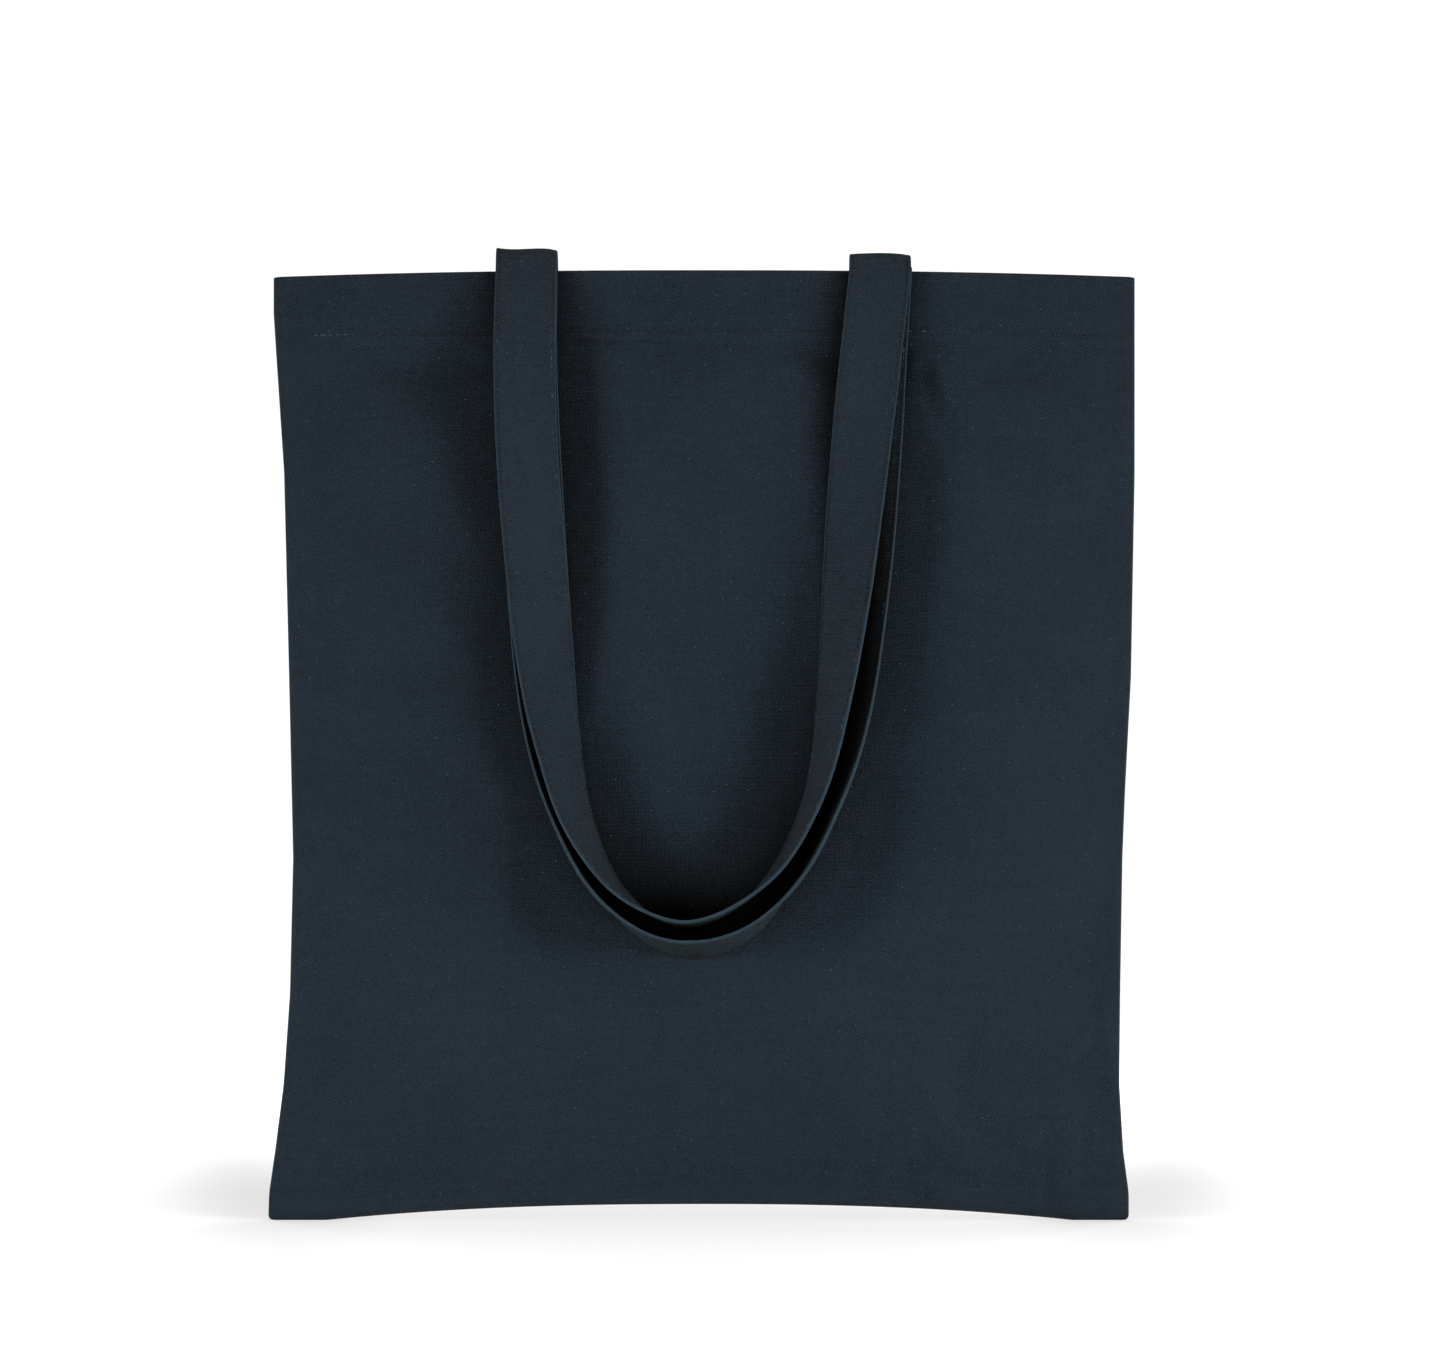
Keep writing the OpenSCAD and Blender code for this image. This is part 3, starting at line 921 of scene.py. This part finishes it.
def box_runs(x, side):
    """The lines of a box of stitches with a cross in it, on the hem over a handle's sewn end."""
    half_w = STRAP_W / 2 - BOX_INSET
    corners = [(-half_w, -BOX_HALF_H), (half_w, -BOX_HALF_H), (half_w, BOX_HALF_H), (-half_w, BOX_HALF_H)]
    runs = []
    for a, b in ((0, 1), (1, 2), (2, 3), (3, 0), (0, 2), (1, 3)):
        t = np.linspace(0.02, 0.98, 12)[:, None]
        flat = mix(np.array(corners[a]), np.array(corners[b]), t)
        px, pz = x + flat[:, 0], BAG_H - BOX_DROP + flat[:, 1]
        y = side * outer_at(px, pz) + SEAM_Y
        normals = np.tile([0.0, float(side), 0.0], (len(px), 1))
        runs.append((np.stack([px, y, pz], -1), normals))
    return runs


ROW_OFFSET = STRAP_W / 2 - STRAP_ROW_IN


def strap_runs(surface):
    """Both edge rows of a strap, on both its faces."""
    return [surface(offset, face) for offset in (-ROW_OFFSET, ROW_OFFSET) for face in (-1, 1)]


DRIFT_RUN = 13
PALE_FROM = 0.1
PALE_RISE = 1.6


def stitch_paleness(count, seed):
    """How pale each stitch is: most are dark, and a few stretches of a row are pale."""
    rng = np.random.default_rng(seed)
    own = rng.uniform(0, 1, count) ** 2
    noise = rng.normal(0, 1, count + DRIFT_RUN - 1)
    drift = np.convolve(noise, np.full(DRIFT_RUN, 1 / DRIFT_RUN), "valid")
    return own * smooth((drift / drift.std() - PALE_FROM) / PALE_RISE)


# ------------------------------ materials

THREAD_PITCH = 0.6 * MM
CANVAS_COLOUR = (0.0098, 0.0149, 0.0208)
STRAP_COLOUR = (0.0105, 0.0157, 0.0216)
THREAD_COLOUR = (0.0064, 0.0125, 0.0172)
# Pale teal of lint, of worn edges, and of the painted highlight on the straps' edges.
LINT_WEAR_AND_HIGHLIGHT_COLOUR = (0.027, 0.050, 0.067)


class Nodes:
    """A material's node tree, built by name."""

    def __init__(self, name):
        self.material = bpy.data.materials.new(name)
        self.material.use_nodes = True
        self.tree = self.material.node_tree
        self.shader = self.tree.nodes["Principled BSDF"]

    def add(self, kind, inputs=(), **settings):
        node = self.tree.nodes.new("ShaderNode" + kind)
        for key, value in settings.items():
            setattr(node, key, value)
        for key, value in dict(inputs).items():
            if isinstance(value, bpy.types.NodeSocket):
                self.tree.links.new(value, node.inputs[key])
            else:
                node.inputs[key].default_value = value
        return node

    def math(self, operation, *values, clamp=False):
        return self.add("Math", enumerate(values), operation=operation, use_clamp=clamp).outputs[0]

    def noise(self, vector, scale, detail=2.0):
        inputs = {"Vector": vector, "Scale": scale, "Detail": detail, "Roughness": 0.55}
        return self.add("TexNoise", inputs).outputs["Fac"]

    def mix(self, share, a, b):
        node = self.add("Mix", data_type="RGBA")
        for index, value in ((0, share), (6, a), (7, b)):
            if isinstance(value, bpy.types.NodeSocket):
                self.tree.links.new(value, node.inputs[index])
            elif index:
                node.inputs[index].default_value = (*value, 1)
            else:
                node.inputs[index].default_value = value
        return node.outputs[2]

    def spread(self, value, low, high):
        """A share from 0 to 1 read as a number from low to high."""
        return self.math("MULTIPLY_ADD", value, high - low, low)


def woven(name, colour, rubbed_and_lit_edges, thread_gap_shade):
    """Plain-woven cotton: threads that pass over and under, painted shade between them, weft-on-top cells
    painted lighter, uneven yarn, lint, pale worn edges that are also a painted highlight, and soft sheen.
    """
    n = Nodes(name)
    uv = n.add("UVMap", uv_map="cloth").outputs["UV"]
    cloth = n.add("SeparateXYZ", {"Vector": uv})
    u = n.math("DIVIDE", cloth.outputs["X"], THREAD_PITCH)
    v = n.math("DIVIDE", cloth.outputs["Y"], THREAD_PITCH)
    v = n.math("ADD", v, n.spread(n.noise(uv, 120.0), -0.5, 0.5))
    u = n.math("ADD", u, n.spread(n.noise(uv, 90.0), -0.3, 0.3))
    iu, iv = n.math("FLOOR", u), n.math("FLOOR", v)
    cu = n.math("SINE", n.math("MULTIPLY", n.math("FRACT", u), math.pi))
    cv = n.math("SINE", n.math("MULTIPLY", n.math("FRACT", v), math.pi))
    # Weft lies on top where the count of threads across and along is odd.
    weft_up = n.math("FRACT", n.math("MULTIPLY", n.math("ADD", iu, iv), 0.5))
    weft_up = n.math("MULTIPLY", weft_up, 2.0)
    warp = n.math("MULTIPLY", n.math("POWER", cu, 0.6), n.spread(cv, 0.35, 1.0))
    weft = n.math("MULTIPLY", n.math("POWER", cv, 0.6), n.spread(cu, 0.5, 1.15))
    height = n.add("Mix", {0: weft_up, 2: warp, 3: weft}).outputs[0]

    # Each yarn has its own tone, which drifts along it.
    warp_at = n.add("CombineXYZ", {"X": iu, "Y": n.math("MULTIPLY", v, 0.03), "Z": 3.0}).outputs[0]
    weft_at = n.add("CombineXYZ", {"X": n.math("MULTIPLY", u, 0.025), "Y": iv, "Z": 7.0}).outputs[0]
    warp_tone = n.noise(warp_at, 0.9, 1.0)
    weft_tone = n.noise(weft_at, 0.9, 1.0)
    tone = n.add("Mix", {0: weft_up, 2: warp_tone, 3: weft_tone}).outputs[0]

    cloud = n.noise(uv, 22.0, 4.0)
    fleck = n.noise(uv, 900.0, 1.0)
    cell = n.add("CombineXYZ", {"X": iu, "Y": iv, "Z": 0.0}).outputs[0]
    chance = n.add("TexWhiteNoise", {"Vector": cell}, noise_dimensions="3D").outputs["Value"]
    # Painted shade: the colour is darker in the gaps between threads and lighter on their tops, by the
    # given strength.
    shade = n.spread(height, 1 - thread_gap_shade, 1 + thread_gap_shade)
    # Weft-on-top cells are painted lighter than warp-on-top ones, as side light would leave them. The cell,
    # yarn, cloud and fleck factors are random tone.
    for share, low in ((weft_up, 0.58), (chance, 0.86), (tone, 0.84), (cloud, 0.91), (fleck, 0.9)):
        shade = n.math("MULTIPLY", shade, n.spread(share, low, 2 - low))
    tint = n.add("CombineColor", {"Red": shade, "Green": shade, "Blue": shade}).outputs[0]
    base = n.add("Mix", data_type="RGBA", blend_type="MULTIPLY")
    base.inputs[0].default_value = 1.0
    base.inputs[6].default_value = (*colour, 1)
    n.tree.links.new(tint, base.inputs[7])
    base = base.outputs[2]

    # Lint in a few cells, and pale edges: partly wear, partly a painted highlight where a strap's edge
    # catches the light.
    patchy = n.noise(uv, 35.0, 2.0)
    lint = n.math("GREATER_THAN", n.math("ADD", chance, n.spread(patchy, -0.0012, 0.0012)), 0.9985)
    base = n.mix(n.math("MULTIPLY", lint, 0.6), base, LINT_WEAR_AND_HIGHLIGHT_COLOUR)
    if rubbed_and_lit_edges:
        edge = n.add("Attribute", attribute_name="edge").outputs["Fac"]
        rubbed_and_lit = n.math("MULTIPLY", edge, n.spread(n.noise(uv, 420.0, 3.0), 0.1, 1.05), clamp=True)
        base = n.mix(n.math("MULTIPLY", rubbed_and_lit, rubbed_and_lit_edges), base, LINT_WEAR_AND_HIGHLIGHT_COLOUR)

    bump = n.add("Bump", {"Height": height, "Strength": 0.8, "Distance": 0.16 * MM}).outputs[0]
    rough = n.spread(height, 0.96, 0.84)
    n.tree.links.new(base, n.shader.inputs["Base Color"])
    n.tree.links.new(bump, n.shader.inputs["Normal"])
    n.tree.links.new(rough, n.shader.inputs["Roughness"])
    n.shader.inputs["Specular IOR Level"].default_value = 0.04
    n.shader.inputs["Sheen Weight"].default_value = 0.015
    n.shader.inputs["Sheen Roughness"].default_value = 0.55
    n.shader.inputs["Sheen Tint"].default_value = (0.62, 0.78, 0.9, 1)
    return n.material


def thread_material():
    """Sewing thread: two plies twisted together with painted shade in the grooves between them, each stitch
    a little lighter or darker.
    """
    n = Nodes("thread")
    uv = n.add("UVMap", uv_map="cloth").outputs["UV"]
    twist = n.add("TexWave", {"Vector": uv, "Scale": 900.0, "Distortion": 0.6, "Detail": 1.0},
                  bands_direction="DIAGONAL").outputs["Fac"]
    place = n.add("Attribute", attribute_name="tone").outputs["Fac"]
    # The twist's grooves, low in the bump, are painted darker: painted shade between the plies.
    light = n.math("MULTIPLY", n.spread(place, 0.8, 6.0), n.spread(twist, 0.8, 1.1))
    tint = n.add("CombineColor", {"Red": light, "Green": light, "Blue": light}).outputs[0]
    base = n.add("Mix", data_type="RGBA", blend_type="MULTIPLY")
    base.inputs[0].default_value = 1.0
    base.inputs[6].default_value = (*THREAD_COLOUR, 1)
    n.tree.links.new(tint, base.inputs[7])
    bump = n.add("Bump", {"Height": twist, "Strength": 0.5, "Distance": 0.08 * MM}).outputs[0]
    n.tree.links.new(base.outputs[2], n.shader.inputs["Base Color"])
    n.tree.links.new(bump, n.shader.inputs["Normal"])
    n.shader.inputs["Roughness"].default_value = 0.7
    n.shader.inputs["Specular IOR Level"].default_value = 0.08
    n.shader.inputs["Sheen Weight"].default_value = 0.02
    return n.material


# ------------------------------ the pieces

# Where each handle's bend begins and ends, in metres, across the hem from the bag to the loop.
FRONT_START, FRONT_END = (0, 0.0093, 0), (0, 0.0052, 0)
BACK_START, BACK_END = (0, 0.0172, 0), (0, 0.0029, 0)


def finish_piece(obj, material, nodes, body=None):
    """Gives a piece its material and slot, hides the frame's parts for the nodes that it stands for, and
    gives it its body.
    """
    obj.data.materials.append(material)
    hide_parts(*nodes)
    if body:
        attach(obj, body)
    return obj


canvas = woven("canvas", CANVAS_COLOUR, 0, 0.5)
webbing = woven("webbing", STRAP_COLOUR, 0.75, 0.55)
thread = thread_material()

moved = settle_cloth()
front_panel, front_face = make_panel("front_panel_cloth", -1, moved)
back_panel, back_face = make_panel("back_panel_cloth", 1, moved)
finish_piece(front_panel, canvas, ["front_panel", "front_hem"], "bag")
finish_piece(back_panel, canvas, ["back_panel", "back_hem"], "bag")

for name, side, seed in (("left_side_seam", -1, 11), ("right_side_seam", 1, 12)):
    near, far = side_lines(side, SEAM_EDGE, SEAM_W)
    finish_piece(wavy_strip(name + "_plies", near, far, seed), canvas, [name], "bag")
near, far = bottom_lines(SEAM_EDGE, SEAM_W)
finish_piece(wavy_strip("bottom_seam_plies", near, far, 13), canvas, ["bottom_seam"], "bag")

front_line = strap_line(FRONT_ROUTE, -1, FRONT_FOLD_R)
back_line = strap_line(BACK_ROUTE, 1, BACK_FOLD_R)
front_strap, front_surface = make_strap("front_handle_strap", front_line, 21)
back_strap, back_surface = make_strap("back_handle_strap", back_line, 22)

side_runs = [run for side in (-1, 1) for run in seam_runs(side_lines(side, SEAM_W - 1)[0])]
bottom_runs = seam_runs(bottom_lines(SEAM_W - 1)[0])
front_box_runs = [run for x in both_ends(FRONT_ROUTE) for run in box_runs(x, -1)]
back_box_runs = [run for x in both_ends(BACK_ROUTE) for run in box_runs(x, 1)]
front_hem_runs = [face_row(front_face, -1, HEM_ROW_DROP)]
back_hem_runs = [face_row(back_face, 1, HEM_ROW_DROP)]

# Each thread piece: name, runs, seed, node it stands for, and the body it rides on.
PIECES_OF_THREAD = [
    ("front_hem_stitches", front_hem_runs, 31, "front_hem_stitching", "bag"),
    ("back_hem_stitches", back_hem_runs, 32, "back_hem_stitching", "bag"),
    ("side_seam_stitches", side_runs, 33, "side_seam_stitching", "bag"),
    ("bottom_seam_stitches", bottom_runs, 34, "bottom_seam_stitching", "bag"),
    ("front_box_stitches", front_box_runs, 35, "front_anchor_stitching", "bag"),
    ("back_box_stitches", back_box_runs, 36, "back_anchor_stitching", "bag"),
    ("front_handle_stitches", strap_runs(front_surface), 37, "front_handle_stitching", None),
    ("back_handle_stitches", strap_runs(back_surface), 38, "back_handle_stitching", None),
]
TONE_SEED = 100
RING_POINTS = len(RING_PLACES) * RING_SIDES

stitched = {}
for name, runs, seed, node, body in PIECES_OF_THREAD:
    obj = make_stitches(name, runs, seed)
    tones = stitch_paleness(len(obj.data.vertices) // RING_POINTS, seed + TONE_SEED)
    set_attribute(obj, "tone", np.repeat(tones, RING_POINTS))
    stitched[name] = finish_piece(obj, thread, [node], body)

for piece, stitches, side, start, end in (
    (front_strap, stitched["front_handle_stitches"], "front", FRONT_START, FRONT_END),
    (back_strap, stitched["back_handle_stitches"], "back", BACK_START, BACK_END),
):
    nodes = [side + "_handle", side + "_handle_ends", side + "_handle_folds"]
    finish_piece(piece, webbing, nodes)
    for obj in (piece, stitches):
        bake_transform(obj)

# ------------------------------ floor and light

FLOOR_HALF = 1.9
FLOOR_COLOUR = (0.5, 0.5, 0.5, 1)
GLOW_FROM, GLOW_TO = 0.2, 0.6
GLOW_NEAR, GLOW_FAR = 0.55, 0.9
# The painted shadow beside and behind the bag's ends: its edge, how it widens backwards, its size and its
# depth in glow.
PAINTED_SHADOW_EDGE, PAINTED_SHADOW_SPREAD = 0.19, 0.13
PAINTED_SHADOW_HALF_W = 0.07
PAINTED_SHADOW_MIDDLE_Y = 0.22
PAINTED_SHADOW_HALF_L = 0.45
PAINTED_SHADOW_DEPTH = 0.25


def make_floor():
    """A pale floor that glows softly as painted light, dimmer near the bag, with a painted shadow beside
    and behind each of the bag's two ends.
    """
    mesh = bpy.data.meshes.new("floor")
    corners = [(-1, -1), (1, -1), (1, 1), (-1, 1)]
    mesh.from_pydata([(x * FLOOR_HALF, y * FLOOR_HALF, 0) for x, y in corners], [], [(0, 1, 2, 3)])
    obj = bpy.data.objects.new("floor", mesh)
    bpy.context.scene.collection.objects.link(obj)
    n = Nodes("floor")
    n.shader.inputs["Base Color"].default_value = FLOOR_COLOUR
    n.shader.inputs["Emission Color"].default_value = (1, 1, 1, 1)
    place = n.add("NewGeometry").outputs["Position"]
    far = n.add("VectorMath", {0: place}, operation="LENGTH").outputs["Value"]
    glow_ends = {"Value": far, 1: GLOW_FROM, 2: GLOW_TO, 3: GLOW_NEAR, 4: GLOW_FAR}
    glow = n.add("MapRange", glow_ends, interpolation_type="SMOOTHSTEP")
    parts = n.add("SeparateXYZ", {0: place})
    back = parts.outputs["Y"]
    # Painted shadow: the glow is lowered in a soft patch beside and behind each end of the bag.
    edge = n.math("ADD", PAINTED_SHADOW_EDGE, n.math("MULTIPLY", back, PAINTED_SHADOW_SPREAD))
    beside = n.math("SUBTRACT", n.math("ABSOLUTE", parts.outputs["X"]), edge)
    beside = n.math("DIVIDE", beside, PAINTED_SHADOW_HALF_W)
    behind = n.math("DIVIDE", n.math("SUBTRACT", back, PAINTED_SHADOW_MIDDLE_Y), PAINTED_SHADOW_HALF_L)
    squares = n.math("ADD", n.math("MULTIPLY", beside, beside), n.math("MULTIPLY", behind, behind))
    painted_shadow_ends = {"Value": n.math("SQRT", squares), 1: 0, 2: 1, 3: PAINTED_SHADOW_DEPTH, 4: 0}
    shade = n.add("MapRange", painted_shadow_ends, interpolation_type="SMOOTHSTEP")
    strength = n.math("SUBTRACT", glow.outputs[0], shade.outputs[0])
    n.tree.links.new(strength, n.shader.inputs["Emission Strength"])
    n.shader.inputs["Roughness"].default_value = 0.9
    n.shader.inputs["Specular IOR Level"].default_value = 0.1
    mesh.materials.append(n.material)


def area_light(name, place, target, size, power, spread=180):
    """A rectangular soft box at a place in metres, turned to a target."""
    data = bpy.data.lights.new(name, "AREA")
    data.shape = "RECTANGLE"
    data.size, data.size_y = size
    data.energy = power
    data.spread = math.radians(spread)
    obj = bpy.data.objects.new(name, data)
    obj.location = place
    direction = Vector(target) - Vector(place)
    obj.rotation_euler = direction.to_track_quat("-Z", "Y").to_euler()
    bpy.context.scene.collection.objects.link(obj)


FILL_COLOUR = (0.05, 0.04, 0.034, 1)
SKY_COLOUR = (1.05, 1.05, 1.05, 1)


def make_world():
    """White surroundings: bright behind the bag, and a faint fill on it."""
    world = bpy.data.worlds.new("studio")
    world.use_nodes = True
    tree = world.node_tree
    background = tree.nodes["Background"]
    path = tree.nodes.new("ShaderNodeLightPath")
    colour = tree.nodes.new("ShaderNodeMix")
    colour.data_type = "RGBA"
    colour.inputs[6].default_value = FILL_COLOUR
    colour.inputs[7].default_value = SKY_COLOUR
    tree.links.new(path.outputs["Is Camera Ray"], colour.inputs[0])
    tree.links.new(colour.outputs[2], background.inputs["Color"])
    bpy.context.scene.world = world


make_floor()
make_world()

# Targets in metres, and the spread in degrees of the boxes that mustn't light the floor near them.
BESIDE = 80
MIDDLE = (0, 0, 0.16)
LOW = (0, 0, -0.05)
BACK = (0, 0, 0.25)
area_light("left_box", (-1.7, -1.05, 0.3), LOW, (0.72, 0.6), 6.7, BESIDE)
area_light("right_box", (1.75, -0.9, 0.3), LOW, (0.85, 0.6), 6.4, BESIDE)
area_light("high_box", (1.4, -1.3, 1.4), MIDDLE, (0.8, 0.8), 9.6)
area_light("front_strip", (0, -0.95, 0.08), (0, 0, 0), (1.5, 0.12), 4.2)
area_light("top_box", (0, 0.1, 2.3), (0, 0.1, 0), (2.2, 1.8), 34)
area_light("back_left_box", (-1.2, 1.5, 0.3), BACK, (0.8, 0.6), 4.0, BESIDE)
area_light("back_right_box", (1.2, 1.5, 0.3), BACK, (0.8, 0.6), 4.8, BESIDE)

# The studio's tone curve: shadows on dark cloth are printed deeper than the light alone leaves them.
# For red, green and blue: the level below which the curve bends, and its power there.
TOES = ((0.021, 2.0), (0.030, 2.25), (0.041, 2.4))
TOE_SHARES = (0.15, 0.3, 0.45, 0.6, 0.8, 1)
tone = bpy.context.scene.view_settings
tone.view_transform = "Standard"
tone.use_curve_mapping = True
for curve, (end, power) in zip(tone.curve_mapping.curves, TOES):
    for share in TOE_SHARES:
        curve.points.new(end * share, end * share**power)
    for point in curve.points:
        point.handle_type = "VECTOR"
tone.curve_mapping.update()
